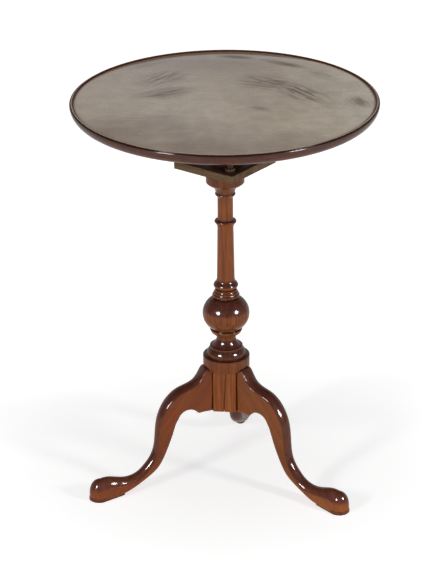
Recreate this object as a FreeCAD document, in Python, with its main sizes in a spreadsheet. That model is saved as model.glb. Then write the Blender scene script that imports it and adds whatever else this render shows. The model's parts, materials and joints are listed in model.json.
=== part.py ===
import FreeCAD, Part
import math
import os
import Sketcher

# Birdcage tilt-top tea table. Millimetres, +Z up, origin on the floor under the column.
# The cage and the first leg face +X. The tray top tips about the pivots on the cage's +X side.

doc = FreeCAD.newDocument("tea_table")
sheet = doc.addObject("Spreadsheet::Sheet", "sizes")

driving_sizes = {
    # Tray top, turned from one board
    "top_diameter": 533,
    "top_thickness": 23,
    "rim_rise": 2.8,
    "shoulder_round": 1.2,
    "bead_inset": 2.3,
    "bead_radius": 1.8,
    "bead_quirk": 0.5,
    "cove_width": 3.3,
    "cove_sag": 0.35,
    "edge_inset": 20,
    "edge_height": 19.2,
    "edge_bulge": 5.7,
    # Birdcage
    "cage_side": 126,
    "lower_plate": 13.4,
    "cage_gap": 69.1,
    "upper_plate": 16,
    "hinge_reach": 56,
    "pivot_radius": 6,
    "pivot_play": 0.3,
    "nose_play": 0.3,
    "swivel_play": 0.3,
    "colonnette_inset": 19,
    "colonnette_tenon": 5,
    "colonnette_ring": 7.9,
    "colonnette_ring_height": 6,
    "colonnette_ring_sag": 0.9,
    "colonnette_belly": 7.6,
    "colonnette_belly_sag": 1.4,
    "colonnette_waist": 4.6,
    "colonnette_bead": 6.4,
    "colonnette_bead_height": 4,
    "colonnette_bead_sag": 1.2,
    "colonnette_neck": 6,
    # Column end inside the cage, with its collar and key
    "post_radius": 13,
    "pin_radius": 8.5,
    "pin_length": 11,
    "collar_radius": 25,
    "collar_height": 12,
    "collar_round": 1.8,
    "key_notch": 4,
    "key_length": 64,
    "key_thickness": 7,
    "key_height": 11,
    "key_taper": 2.5,
    # Turned column, from the capital downwards
    "column_height": 598.2,
    "capital_radius": 33.8,
    "capital_height": 28.8,
    "ovolo_height": 6.4,
    "ovolo_sag": 1.6,
    "fillet_radius": 22.2,
    "fillet_height": 1.6,
    "cavetto_height": 11.4,
    "cavetto_sag": 0.6,
    "groove_radius": 16.5,
    "groove_height": 0.8,
    "bead_ring_edge": 17,
    "bead_ring_height": 4.6,
    "bead_ring_sag": 1,
    "bead_cove_radius": 16.5,
    "bead_cove_height": 6.2,
    "bead_cove_sag": 0.8,
    "neck_radius": 13.7,
    "neck_length": 40.6,
    "astragal_edge": 16.8,
    "astragal_height": 5.6,
    "astragal_sag": 2.6,
    "astragal_fillet_radius": 15.8,
    "astragal_fillet": 3.2,
    "astragal_cove": 3.2,
    "shaft_top_radius": 14.2,
    # Turned column, from the hub upwards
    "hub_bottom": 138,
    "hub_height": 79.6,
    "leg_seat": 32.5,
    "between_seat": 31,
    "drum_radius": 41.5,
    "drum_height": 21.4,
    "torus_foot_radius": 34.4,
    "torus_top_radius": 28.6,
    "torus_height": 15.2,
    "torus_sag": 2,
    "torus_fillet": 0.8,
    "scotia_lip_radius": 29.2,
    "scotia_lip": 2.2,
    "scotia_foot_radius": 25.4,
    "scotia_height": 16.3,
    "scotia_sag": 1.7,
    "cup_neck_radius": 16.6,
    "cup_neck": 4.5,
    "cup_foot_radius": 18.8,
    "cup_fillet": 1.2,
    "cup_radius": 28.5,
    "cup_height": 9.4,
    "cup_sag": 2.2,
    "cup_rim_radius": 28.2,
    "cup_rim": 2.2,
    "cup_rim_sag": 0.5,
    "crease_radius": 26.8,
    "crease_height": 0.8,
    "ball_foot_radius": 27.4,
    "ball_seat": 1,
    "ball_top_radius": 20.5,
    "ball_height": 58.4,
    "ball_sag": 17.6,
    "ball_neck": 3.2,
    "ring_edge_radius": 24.2,
    "ring_edge": 2,
    "ring_top_radius": 21.8,
    "ring_cove": 3,
    "ring_cove_sag": 0.4,
    "ring_bead": 1.6,
    "ring_cavetto": 4.8,
    "ring_cavetto_sag": 0.6,
    "ring_fillet_radius": 19.4,
    "ring_fillet": 0.8,
    "lens_neck_radius": 17,
    "lens_neck": 2.2,
    "lens_foot_radius": 18.6,
    "lens_rise": 5,
    "lens_radius": 21.9,
    "lens_edge": 0.8,
    "lens_top_radius": 18.2,
    "lens_fall": 5.6,
    "lens_sag": 0.5,
    "flare_radius": 17.4,
    "flare_step": 0.8,
    "flare_height": 10.2,
    "flare_sag": 0.6,
    "shaft_foot_radius": 15.7,
    # Leg roots, dovetailed into the hub, with a sawn cusp and arch below
    "leg_thickness": 28,
    "tongue_depth": 11,
    "tongue_neck": 10,
    "tongue_tail": 15,
    "tongue_stop": 14,
    "saw_waste": 4,
    "cusp_start": 51,
    "cusp_reach": 60,
    "cusp_drop": 0.9,
    "arch_reach": 74,
    "arch_rise": 9,
    # Leg template: crown line, under line, width and roundness at named places along the leg.
    # Rises are above the hub's bottom, heights above the floor, and backs behind the pad's centre.
    "root_round": 2,
    "lip_reach": 45.5,
    "lip_rise": 81.3,
    "lip_round": 2.5,
    "hollow_reach": 57,
    "hollow_rise": 66,
    "hollow_under": 60,
    "slope_reach": 84,
    "slope_rise": 53,
    "slope_under": 80,
    "leg_round": 5.5,
    "knee_reach": 116,
    "knee_rise": 33,
    "knee_under": 99,
    "knee_under_drop": 7,
    "sawn_round": 0.5,
    "shin_reach": 136,
    "shin_height": 131,
    "shin_under": 106,
    "shin_under_height": 110,
    "shin_width": 27,
    "shin_round": 6.3,
    "shin_under_round": 2.5,
    "calf_reach": 141.5,
    "calf_height": 86,
    "calf_under": 115,
    "calf_under_height": 80,
    "calf_width": 25.4,
    "calf_round": 7.8,
    "calf_under_round": 5.5,
    "ankle_reach": 153.5,
    "ankle_height": 57.5,
    "ankle_under": 128.5,
    "ankle_under_height": 50.5,
    "ankle_width": 24,
    "ankle_round": 9.5,
    "ankle_under_round": 7.5,
    "instep_back": 71.3,
    "instep_height": 36.2,
    "instep_under_back": 89.3,
    "instep_under_height": 23.5,
    "instep_width": 25,
    "instep_round": 10.5,
    "instep_under_round": 7,
    "heel_back": 45,
    "heel_height": 33.2,
    "heel_under_back": 54,
    "heel_under_height": 7,
    "heel_width": 27,
    "heel_round": 14,
    "heel_under_round": 4,
    "ball_back": 20,
    "ball_crown_height": 39.4,
    "ball_width": 32,
    "ball_round": 22,
    # Club foot on a thin pad: both end in a round toe
    "pad_reach": 248,
    "pad_radius": 18.3,
    "pad_length": 49,
    "pad_heel_radius": 8,
    "pad_height": 5,
    "foot_radius": 17.3,
    "foot_wall": 9,
    "foot_dome": 25,
    "foot_back": 3,
    "foot_width": 33.6,
    # Iron brace under the hub
    "brace_thickness": 2,
    "brace_disc": 21,
    "brace_arm_width": 15,
    "brace_arm_reach": 49,
    "nail_radius": 1.6,
    "nail_length": 18,
    "nail_head_radius": 3.6,
    "nail_head_height": 1.4,
    "nail_inset": 6,
    "hub_nail_reach": 14,
    # Battens under the top
    "batten_play": 1,
    "batten_thickness": 28,
    "batten_depth": 24,
    "batten_length": 410,
    "batten_end": 8,
    "batten_taper": 78,
    "screw_radius": 2,
    "screw_bite": 11,
    "screw_head_radius": 4,
    "screw_head_height": 2.6,
    "screw_well": 8,
    "screw_spread": 112,
    # Brass catch under the top and its strike on the cage
    "catch_length": 46,
    "catch_width": 28,
    "catch_thickness": 1.6,
    "catch_setback": 4,
    "bolt_width": 9,
    "bolt_thickness": 5,
    "bolt_play": 0.4,
    "bolt_setback": 1.5,
    "bolt_tail": 16,
    "keeper_length": 7,
    "keeper_wall": 1.6,
    "keeper_inset": 5,
    "knob_radius": 4.5,
    "knob_neck": 2.2,
    "knob_belly": 2.6,
    "knob_round": 0.6,
    "knob_height": 6.5,
    "knob_stem": 1.6,
    "catch_screw_radius": 1.4,
    "catch_screw_bite": 8,
    "catch_screw_head": 2.6,
    "catch_screw_cap": 1,
    "catch_screw_inset": 4,
    "strike_length": 24,
    "strike_width": 30,
    "strike_lip": 10.5,
    "strike_room": 2.6,
}

for row, (alias, number) in enumerate(driving_sizes.items(), start=1):
    sheet.set("A%d" % row, alias)
    sheet.set("B%d" % row, str(number))
    sheet.setAlias("B%d" % row, alias)
doc.recompute()


def total(*names):
    return "(" + "+".join("sizes." + name for name in names) + ")"


def number(expression):
    return float(sheet.evalExpression(expression))


def size(name):
    return number("sizes." + name)


# Levels up the table, as expressions of the driving sizes
cage_floor = total("column_height", "swivel_play")
cage_deck = total("column_height", "swivel_play", "lower_plate")
cage_ceiling = total("column_height", "swivel_play", "lower_plate", "cage_gap")
underside = total("column_height", "swivel_play", "lower_plate", "cage_gap", "upper_plate")
table_height = total("column_height", "swivel_play", "lower_plate", "cage_gap", "upper_plate",
                     "top_thickness")
pivot_level = "(%s-sizes.upper_plate/2)" % underside
drum_bottom = total("hub_bottom", "hub_height")
half_cage = "(sizes.cage_side/2)"
leg_names = ["right", "rear", "left"]
leg_turns = {name: index * 360 / len(leg_names) for index, name in enumerate(leg_names)}


def bind(item, **expressions):
    for path, expression in expressions.items():
        item.setExpression(path.replace("__", "."), expression)
    return item


def place(item, x="0", y="0", z="0"):
    return bind(item, Placement__Base__x=x, Placement__Base__y=y, Placement__Base__z=z)


def box(name, corner, extent):
    item = doc.addObject("Part::Box", name)
    bind(item, Length=extent[0], Width=extent[1], Height=extent[2])
    return place(item, *corner)


def rod(name, foot, radius, length, axis=FreeCAD.Vector(0, 0, 1)):
    item = doc.addObject("Part::Cylinder", name)
    item.Placement.Rotation = FreeCAD.Rotation(FreeCAD.Vector(0, 0, 1), axis)
    bind(item, Radius=radius, Height=length)
    return place(item, *foot)


def cone(name, foot, low_radius, high_radius, length):
    item = doc.addObject("Part::Cone", name)
    bind(item, Radius1=low_radius, Radius2=high_radius, Height=length)
    return place(item, *foot)


def fuse(name, items):
    item = doc.addObject("Part::MultiFuse", name)
    item.Shapes = items
    item.Refine = True
    return item


def cut(name, base, tools):
    item = doc.addObject("Part::Cut", name)
    item.Base = base
    item.Tool = tools[0] if len(tools) == 1 else fuse(name + "_cutters", tools)
    return item


def group(name, items):
    item = doc.addObject("Part::Compound", name)
    item.Links = items
    return item


def turned_copies(name, items):
    # Copies of one or more shapes, turned about the column's axis to each leg
    copies = []
    for turn in leg_turns.values():
        copy = group("%s_%d" % (name, turn), items)
        copy.Placement.Rotation = FreeCAD.Rotation(FreeCAD.Vector(0, 0, 1), turn)
        copies.append(copy)
    return copies


def arc_radius(start, end, sag):
    chord = "((%s-%s)^2+(%s-%s)^2)" % (end[0], start[0], end[1], start[1])
    return "((%s)/4+(%s)^2)/(2*(%s))" % (chord, sag, sag)


def drawn_arc(start, end, sag, side):
    # Arc drawn anticlockwise, which runs from start to end when it bulges to the right (side 1)
    along = end - start
    radius = (along.Length ** 2 / 4 + sag ** 2) / (2 * sag)
    inward = FreeCAD.Vector(-along.y, along.x, 0).normalize() * side
    centre = (start + end) / 2 + inward * (radius - sag)
    first, last = (start, end) if side == 1 else (end, start)
    angles = [math.atan2(point.y - centre.y, point.x - centre.x) for point in (first, last)]
    if angles[1] < angles[0]:
        angles[1] += 2 * math.pi
    return Part.ArcOfCircle(Part.Circle(centre, FreeCAD.Vector(0, 0, 1), radius), *angles)


def outline(body, name, plane, corners):
    # Closed outline through corners (x, y) or (x, y, sag, side): sag is the rise of an arc over the
    # line to the next corner, on the right of it (side 1) or the left (side -1).
    sketch = body.newObject("Sketcher::SketchObject", name)
    support = [item for item in body.Origin.OriginFeatures if item.Role == plane][0]
    sketch.AttachmentSupport = (support, [""])
    sketch.MapMode = "FlatFace"
    points = [FreeCAD.Vector(number(corner[0]), number(corner[1]), 0) for corner in corners]
    count = len(corners)
    shapes = []
    heads = []
    tails = []
    for index, corner in enumerate(corners):
        start = points[index]
        end = points[(index + 1) % count]
        turned_back = len(corner) > 2 and corner[3] == -1
        heads.append(2 if turned_back else 1)
        tails.append(1 if turned_back else 2)
        if len(corner) == 2:
            shapes.append(Part.LineSegment(start, end))
        else:
            shapes.append(drawn_arc(start, end, number(corner[2]), corner[3]))
    sketch.addGeometry(shapes, False)
    limits = []
    bound = []
    for index, corner in enumerate(corners):
        before = (index - 1) % count
        limits.append(Sketcher.Constraint("Coincident", before, tails[before], index, heads[index]))
        for kind, expression, level in (("DistanceX", corner[0], points[index].x),
                                        ("DistanceY", corner[1], points[index].y)):
            if expression == "0" and kind == "DistanceX":
                limits.append(Sketcher.Constraint("PointOnObject", index, heads[index], -2))
                continue
            bound.append((len(limits), expression))
            limits.append(Sketcher.Constraint(kind, -1, 1, index, heads[index], level))
        if len(corner) > 2:
            reach = arc_radius(corner, corners[(index + 1) % count], corner[2])
            bound.append((len(limits), reach))
            limits.append(Sketcher.Constraint("Radius", index, number(reach)))
    sketch.addConstraint(limits)
    for index, expression in bound:
        sketch.setExpression("Constraints[%d]" % index, expression)
    return sketch


def turning(name, corners):
    # A piece turned about the Z axis from an outline of radii and heights
    body = doc.addObject("PartDesign::Body", name)
    sketch = outline(body, name + "_outline", "XZ_Plane", corners)
    spin = body.newObject("PartDesign::Revolution", name + "_turning")
    spin.Profile = sketch
    spin.ReferenceAxis = (sketch, ["V_Axis"])
    spin.Angle = 360
    sketch.Visibility = False
    return body


def slab(name, plane, corners, thickness):
    # A piece sawn from a board: an outline on an origin plane, padded to the board's thickness
    body = doc.addObject("PartDesign::Body", name)
    sketch = outline(body, name + "_outline", plane, corners)
    pad = body.newObject("PartDesign::Pad", name + "_board")
    pad.Profile = sketch
    pad.Midplane = True
    bind(pad, Length=thickness)
    return body


# Tray top: bead and cove round a sunk field, set in from the rounded shoulder of an ovolo edge
top_radius = "(sizes.top_diameter/2)"
shoulder = "(%s-sizes.shoulder_round)" % top_radius
bead_outside = "(%s-sizes.bead_inset)" % top_radius
bead_foot = "(%s-sizes.bead_radius)" % table_height
bead_crest = "(%s-sizes.bead_radius)" % bead_outside
bead_inside = "(%s-2*sizes.bead_radius)" % bead_outside
shoulder_sag = "(sizes.shoulder_round*(1-sqrt(0.5)))"
quarter_sag = "(sizes.bead_radius*(1-sqrt(0.5)))"
cove_outside = "(%s-sizes.bead_quirk)" % bead_inside
field_radius = "(%s-sizes.cove_width)" % cove_outside
field_level = "(%s-sizes.rim_rise)" % table_height
tray_blank = turning("tray_blank", [
    ("0", underside),
    ("(%s-sizes.edge_inset)" % top_radius, underside, "sizes.edge_bulge", 1),
    (top_radius, "(%s+sizes.edge_height)" % underside),
    (top_radius, "(%s-sizes.shoulder_round)" % bead_foot, shoulder_sag, 1),
    (shoulder, bead_foot),
    (bead_outside, bead_foot, quarter_sag, 1),
    (bead_crest, table_height, quarter_sag, 1),
    (bead_inside, bead_foot),
    (cove_outside, "(%s-sizes.bead_quirk)" % bead_foot, "sizes.cove_sag", -1),
    (field_radius, field_level),
    ("0", field_level),
])

# Upper plate of the cage: its +X nose is rounded about the pivots, its -X edge is notched for the bolt
nose = "(sizes.upper_plate/2-sizes.nose_play)"
nose_top = "(%s+%s)" % (pivot_level, nose)
nose_bottom = "(%s-%s)" % (pivot_level, nose)
nose_sag = "(%s*(1-sqrt(0.5)))" % nose
nose_tip = "(sizes.hinge_reach+%s)" % nose
upper_board = slab("upper_board", "XZ_Plane", [
    ("-%s" % half_cage, cage_ceiling),
    ("sizes.hinge_reach-%s" % nose, cage_ceiling),
    ("sizes.hinge_reach", nose_bottom, nose_sag, 1),
    (nose_tip, pivot_level, nose_sag, 1),
    ("sizes.hinge_reach", nose_top),
    ("sizes.hinge_reach-%s" % nose, underside),
    ("-%s" % half_cage, underside),
], "sizes.cage_side")
batten_inside = "(%s+sizes.batten_play)" % half_cage
batten_outside = "(%s+sizes.batten_play+sizes.batten_thickness)" % half_cage
pivot_axle = rod("pivot_axle", ("sizes.hinge_reach", batten_outside, pivot_level), "sizes.pivot_radius",
                 "2*%s" % batten_outside, FreeCAD.Vector(0, -1, 0))
colonnette_place = "(%s-sizes.colonnette_inset)" % half_cage
corners = {1: (1, 1), 2: (-1, 1), 3: (-1, -1), 4: (1, -1)}


def tenon_holes(name, foot, depth):
    return [rod("%s_%d" % (name, key),
                ("%d*%s" % (sx, colonnette_place), "%d*%s" % (sy, colonnette_place), foot),
                "sizes.colonnette_tenon", depth) for key, (sx, sy) in corners.items()]


strike_seat = "(%s-sizes.catch_thickness)" % underside
strike_recess = box("strike_recess", ("-%s" % half_cage, "-sizes.strike_width/2", strike_seat),
                    ("sizes.strike_length", "sizes.strike_width", "sizes.catch_thickness"))
notch_width = "(sizes.bolt_width+2*sizes.strike_room)"
strike_notch = box("strike_notch", ("-%s" % half_cage, "-%s/2" % notch_width, cage_ceiling),
                   ("sizes.strike_lip", notch_width, "sizes.upper_plate"))
pin_hole = rod("pin_hole", ("0", "0", cage_ceiling), "sizes.pin_radius+sizes.swivel_play",
               "sizes.pin_length+sizes.swivel_play")
strike_pin_place = "(%s-sizes.strike_length+sizes.catch_screw_inset)" % half_cage
strike_pin_side = "(sizes.strike_width/2-sizes.catch_screw_inset)"


def pin(name, x, y, foot, length):
    return rod(name, (x, y, foot), "sizes.catch_screw_radius", length)


strike_pins = group("strike_pins", [
    pin("strike_pin_%s" % side, "-%s" % strike_pin_place, "%s*%s" % (sign, strike_pin_side),
        "(%s-sizes.catch_screw_bite)" % strike_seat, "sizes.catch_screw_bite+sizes.catch_thickness")
    for side, sign in (("near", "-1"), ("far", "1"))])
strike_blank = box("strike_blank", ("-%s" % half_cage, "-sizes.strike_width/2", strike_seat),
                   ("sizes.strike_length", "sizes.strike_width", "sizes.catch_thickness"))
strike_plate = cut("strike_plate", strike_blank, [strike_pins])
cage_upper_plate = cut("cage_upper_plate", fuse("upper_blank", [upper_board, pivot_axle]),
                       tenon_holes("upper_tenon_hole", cage_ceiling, "sizes.upper_plate")
                       + [strike_recess, strike_notch, pin_hole, strike_pins])

# Lower plate of the cage, bored for the column and the colonnettes
lower_blank = box("lower_blank", ("-%s" % half_cage, "-%s" % half_cage, cage_floor),
                  ("sizes.cage_side", "sizes.cage_side", "sizes.lower_plate"))
post_hole = rod("post_hole", ("0", "0", cage_floor), "sizes.post_radius+sizes.swivel_play",
                "sizes.lower_plate")
cage_lower_plate = cut("cage_lower_plate", lower_blank,
                       [post_hole] + tenon_holes("lower_tenon_hole", cage_floor, "sizes.lower_plate"))

# Four turned colonnettes, tenoned through both plates
ring_top = "(%s+sizes.colonnette_ring_height)" % cage_deck
ring_foot = "(%s-sizes.colonnette_ring_height)" % cage_ceiling
bead_top = "(%s-sizes.colonnette_neck)" % ring_foot
bead_low = "(%s-sizes.colonnette_bead_height)" % bead_top
vase_length = "(%s-%s)" % (bead_low, ring_top)
vase_hip = "(%s+%s/3)" % (ring_top, vase_length)
colonnettes = []
for key, (sx, sy) in corners.items():
    colonnette = turning("colonnette_%d" % key, [
        ("0", cage_floor),
        ("sizes.colonnette_tenon", cage_floor),
        ("sizes.colonnette_tenon", cage_deck),
        ("sizes.colonnette_ring", cage_deck, "sizes.colonnette_ring_sag", 1),
        ("sizes.colonnette_ring", ring_top),
        ("sizes.colonnette_waist", ring_top),
        ("sizes.colonnette_belly", vase_hip, "sizes.colonnette_belly_sag", -1),
        ("sizes.colonnette_waist", bead_low),
        ("sizes.colonnette_bead", bead_low, "sizes.colonnette_bead_sag", 1),
        ("sizes.colonnette_bead", bead_top),
        ("sizes.colonnette_waist", bead_top),
        ("sizes.colonnette_ring", ring_foot, "sizes.colonnette_ring_sag", 1),
        ("sizes.colonnette_ring", cage_ceiling),
        ("sizes.colonnette_tenon", cage_ceiling),
        ("sizes.colonnette_tenon", underside),
        ("0", underside),
    ])
    place(colonnette, "%d*%s" % (sx, colonnette_place), "%d*%s" % (sy, colonnette_place))
    colonnettes.append(colonnette)

# Key through the column's end, bedded in a notch across the collar
collar_foot = "(%s+sizes.swivel_play)" % cage_deck
collar_top = "(%s+sizes.collar_height)" % collar_foot
collar_bore = "(sizes.post_radius+sizes.swivel_play)"
key_bed = "(%s-sizes.key_notch)" % collar_top
half_key = "(sizes.key_length/2)"
key_wedge = slab("key_wedge", "XZ_Plane", [
    ("-%s" % half_key, key_bed),
    (half_key, key_bed),
    (half_key, "(%s+sizes.key_height)" % key_bed),
    ("-%s" % half_key, "(%s+sizes.key_height-sizes.key_taper)" % key_bed),
], "sizes.key_thickness")
collar_shoulder = "(sizes.collar_radius-sizes.collar_round)"
collar_sag = "(sizes.collar_round*(1-sqrt(0.5)))"
collar_blank = turning("collar_blank", [
    (collar_bore, collar_foot),
    ("sizes.collar_radius", collar_foot),
    ("sizes.collar_radius", "(%s-sizes.collar_round)" % collar_top, collar_sag, 1),
    (collar_shoulder, collar_top),
    (collar_bore, collar_top),
])
collar = cut("collar", collar_blank, [key_wedge])


def stack(start, names, sign):
    # Levels reached one after another from a start, up (sign +) or down (sign -)
    levels = []
    level = start
    for name in names:
        level = "(%s%ssizes.%s)" % (level, sign, name)
        levels.append(level)
    return levels


# Column: turned mouldings stacked up from the hub and down from the capital, with the shaft between
(drum_foot, drum_top, torus_top, lip_foot, lip_top, scotia_top, cup_foot, cup_low, cup_high, rim_top, crease_top,
 ball_foot, ball_top, ring_low, ring_shoulder, ring_neck, ring_high, cavetto_top, fillet_top, lens_foot, lens_low,
 lens_high, lens_top, flare_foot, flare_top) = stack("sizes.hub_bottom", [
     "hub_height", "drum_height", "torus_height", "torus_fillet", "scotia_lip", "scotia_height", "cup_neck",
     "cup_fillet", "cup_height", "cup_rim", "crease_height", "ball_seat", "ball_height", "ball_neck",
     "ring_edge", "ring_cove", "ring_bead", "ring_cavetto", "ring_fillet", "lens_neck", "lens_rise", "lens_edge",
     "lens_fall", "flare_step", "flare_height"], "+")
(capital_foot, ovolo_foot, fillet_foot, cavetto_foot, groove_foot, bead_ring_foot, neck_top, neck_foot,
 astragal_foot, astragal_low, shaft_top) = stack("sizes.column_height", [
     "capital_height", "ovolo_height", "fillet_height", "cavetto_height", "groove_height",
     "bead_ring_height", "bead_cove_height", "neck_length", "astragal_height", "astragal_fillet",
     "astragal_cove"], "-")
post_top = "(%s-sizes.swivel_play)" % cage_ceiling
pin_top = "(%s+sizes.pin_length)" % cage_ceiling
column_turning = turning("column_turning", [
    ("0", drum_foot),
    ("sizes.drum_radius", drum_foot),
    ("sizes.drum_radius", drum_top),
    ("sizes.torus_foot_radius", drum_top, "sizes.torus_sag", 1),
    ("sizes.torus_top_radius", torus_top),
    ("sizes.torus_top_radius", lip_foot),
    ("sizes.scotia_lip_radius", lip_foot),
    ("sizes.scotia_lip_radius", lip_top),
    ("sizes.scotia_foot_radius", lip_top, "sizes.scotia_sag", -1),
    ("sizes.cup_neck_radius", scotia_top),
    ("sizes.cup_neck_radius", cup_foot),
    ("sizes.cup_foot_radius", cup_foot),
    ("sizes.cup_foot_radius", cup_low, "sizes.cup_sag", 1),
    ("sizes.cup_radius", cup_high, "sizes.cup_rim_sag", 1),
    ("sizes.cup_rim_radius", rim_top),
    ("sizes.crease_radius", crease_top),
    ("sizes.ball_foot_radius", ball_foot, "sizes.ball_sag", 1),
    ("sizes.ball_top_radius", ball_top),
    ("sizes.ball_top_radius", ring_low),
    ("sizes.ring_edge_radius", ring_low),
    ("sizes.ring_edge_radius", ring_shoulder, "sizes.ring_cove_sag", -1),
    ("sizes.ring_top_radius", ring_neck),
    ("sizes.ring_top_radius", ring_high, "sizes.ring_cavetto_sag", -1),
    ("sizes.ring_fillet_radius", cavetto_top),
    ("sizes.ring_fillet_radius", fillet_top),
    ("sizes.lens_neck_radius", fillet_top),
    ("sizes.lens_neck_radius", lens_foot),
    ("sizes.lens_foot_radius", lens_foot, "sizes.lens_sag", 1),
    ("sizes.lens_radius", lens_low),
    ("sizes.lens_radius", lens_high, "sizes.lens_sag", 1),
    ("sizes.lens_top_radius", lens_top),
    ("sizes.flare_radius", flare_foot, "sizes.flare_sag", -1),
    ("sizes.shaft_foot_radius", flare_top),
    ("sizes.shaft_top_radius", shaft_top),
    ("sizes.astragal_fillet_radius", astragal_low),
    ("sizes.astragal_fillet_radius", astragal_foot),
    ("sizes.astragal_edge", astragal_foot, "sizes.astragal_sag", 1),
    ("sizes.astragal_edge", neck_foot),
    ("sizes.neck_radius", neck_foot),
    ("sizes.neck_radius", neck_top, "sizes.bead_cove_sag", -1),
    ("sizes.bead_cove_radius", bead_ring_foot),
    ("sizes.bead_ring_edge", bead_ring_foot, "sizes.bead_ring_sag", 1),
    ("sizes.bead_ring_edge", groove_foot),
    ("sizes.groove_radius", groove_foot),
    ("sizes.groove_radius", cavetto_foot, "sizes.cavetto_sag", -1),
    ("sizes.fillet_radius", fillet_foot),
    ("sizes.fillet_radius", ovolo_foot, "sizes.ovolo_sag", 1),
    ("sizes.capital_radius", capital_foot),
    ("sizes.capital_radius", "sizes.column_height"),
    ("sizes.post_radius", "sizes.column_height"),
    ("sizes.post_radius", post_top),
    ("sizes.pin_radius", post_top),
    ("sizes.pin_radius", pin_top),
    ("0", pin_top),
])
# Hub below the drum: six flats, three for the legs and three between them
hub_corner = "((2*sizes.between_seat-sizes.leg_seat)/sqrt(3))"
hub_corners = []
for turn in leg_turns.values():
    for side in ("-1", "1"):
        hub_corners.append((
            "(sizes.leg_seat*cos(%d deg)-%s*%s*sin(%d deg))" % (turn, side, hub_corner, turn),
            "(sizes.leg_seat*sin(%d deg)+%s*%s*cos(%d deg))" % (turn, side, hub_corner, turn)))
hub = slab("hub", "XY_Plane", hub_corners, "sizes.hub_height")
place(hub, z="sizes.hub_bottom+sizes.hub_height/2")
column_blank = fuse("column_blank", [column_turning, hub])
tongue_back = "(sizes.leg_seat-sizes.tongue_depth)"
tongue_length = "(sizes.hub_height-sizes.tongue_stop)"
tongue = slab("tongue", "XY_Plane", [
    ("sizes.leg_seat", "-sizes.tongue_neck/2"),
    ("sizes.leg_seat", "sizes.tongue_neck/2"),
    (tongue_back, "sizes.tongue_tail/2"),
    (tongue_back, "-sizes.tongue_tail/2"),
], tongue_length)
place(tongue, z="sizes.hub_bottom+%s/2" % tongue_length)

# Iron brace nailed under the hub and the leg roots
brace_foot = "(sizes.hub_bottom-sizes.brace_thickness)"
leg_nail_reach = "(sizes.brace_arm_reach-sizes.nail_inset)"
nails = []
for name, reach in (("leg_nail", leg_nail_reach), ("hub_nail", "sizes.hub_nail_reach")):
    shank = rod(name + "_shank", (reach, "0", brace_foot), "sizes.nail_radius",
                "sizes.nail_length+sizes.brace_thickness")
    head = cone(name + "_head", (reach, "0", "%s-sizes.nail_head_height" % brace_foot),
                "sizes.nail_radius", "sizes.nail_head_radius", "sizes.nail_head_height")
    nails.append(fuse(name, [shank, head]))
brace_nails = group("brace_nails", turned_copies("nail_pair", nails))
arm_end = "(sizes.brace_arm_reach-sizes.brace_arm_width/2)"
brace_arm = box("brace_arm", ("0", "-sizes.brace_arm_width/2", brace_foot),
                (arm_end, "sizes.brace_arm_width", "sizes.brace_thickness"))
brace_tip = rod("brace_tip", (arm_end, "0", brace_foot), "sizes.brace_arm_width/2", "sizes.brace_thickness")
brace_disc = rod("brace_disc", ("0", "0", brace_foot), "sizes.brace_disc", "sizes.brace_thickness")
brace_arms = turned_copies("brace_arm_set", [fuse("brace_arm_whole", [brace_arm, brace_tip])])
brace_plate = cut("brace_plate", fuse("brace_blank", [brace_disc] + brace_arms), [brace_nails])
column = cut("column", column_blank,
             turned_copies("socket", [tongue]) + [key_wedge, brace_nails])
doc.recompute()


def half_ellipse(start, crest, centre):
    # Half an ellipse from start over the crest to the far side of the centre
    if start.distanceToPoint(centre) > crest.distanceToPoint(centre):
        return Part.ArcOfEllipse(Part.Ellipse(start, crest, centre), 0, math.pi).toShape()
    opposite = centre * 2 - start
    return Part.ArcOfEllipse(Part.Ellipse(crest, opposite, centre), -math.pi / 2, math.pi / 2).toShape()


def leg_section(crown, under, width, crown_round, under_round, carved=False):
    # Flat sides, a rounded underside and a crowned top, which a carved foot turns into half an ellipse
    top = FreeCAD.Vector(crown[0], 0, crown[1])
    bottom = FreeCAD.Vector(under[0], 0, under[1])
    rise = (top - bottom).normalize()
    half = FreeCAD.Vector(0, width / 2, 0)
    shoulder = top - rise * crown_round
    hem = bottom + rise * under_round
    if carved:
        crown_edge = half_ellipse(shoulder + half, top, shoulder)
    else:
        crown_edge = Part.Arc(shoulder + half, top, shoulder - half).toShape()
    return Part.Wire([
        crown_edge,
        Part.LineSegment(shoulder - half, hem - half).toShape(),
        Part.Arc(hem - half, bottom, hem + half).toShape(),
        Part.LineSegment(hem + half, shoulder + half).toShape(),
    ])


def foot_shape():
    # Round toe of the club foot: an upright wall under an elliptical dome
    pad = size("pad_reach")
    wall_top = size("pad_height") + size("foot_wall")
    foot_radius = size("foot_radius")
    base = FreeCAD.Vector(pad, 0, size("pad_height"))
    base_edge = FreeCAD.Vector(pad + foot_radius, 0, size("pad_height"))
    wall_edge = FreeCAD.Vector(pad + foot_radius, 0, wall_top)
    centre = FreeCAD.Vector(pad, 0, wall_top)
    crest = FreeCAD.Vector(pad, 0, wall_top + size("foot_dome"))
    longer, shorter = sorted((wall_edge, crest), key=lambda end: -end.distanceToPoint(centre))
    dome = Part.ArcOfEllipse(Part.Ellipse(longer, shorter, centre), 0, math.pi / 2)
    rim = Part.Wire([Part.LineSegment(base, base_edge).toShape(),
                     Part.LineSegment(base_edge, wall_edge).toShape(),
                     dome.toShape(),
                     Part.LineSegment(crest, base).toShape()])
    return Part.Face(rim).revolve(base, FreeCAD.Vector(0, 0, 1), 360)


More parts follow.
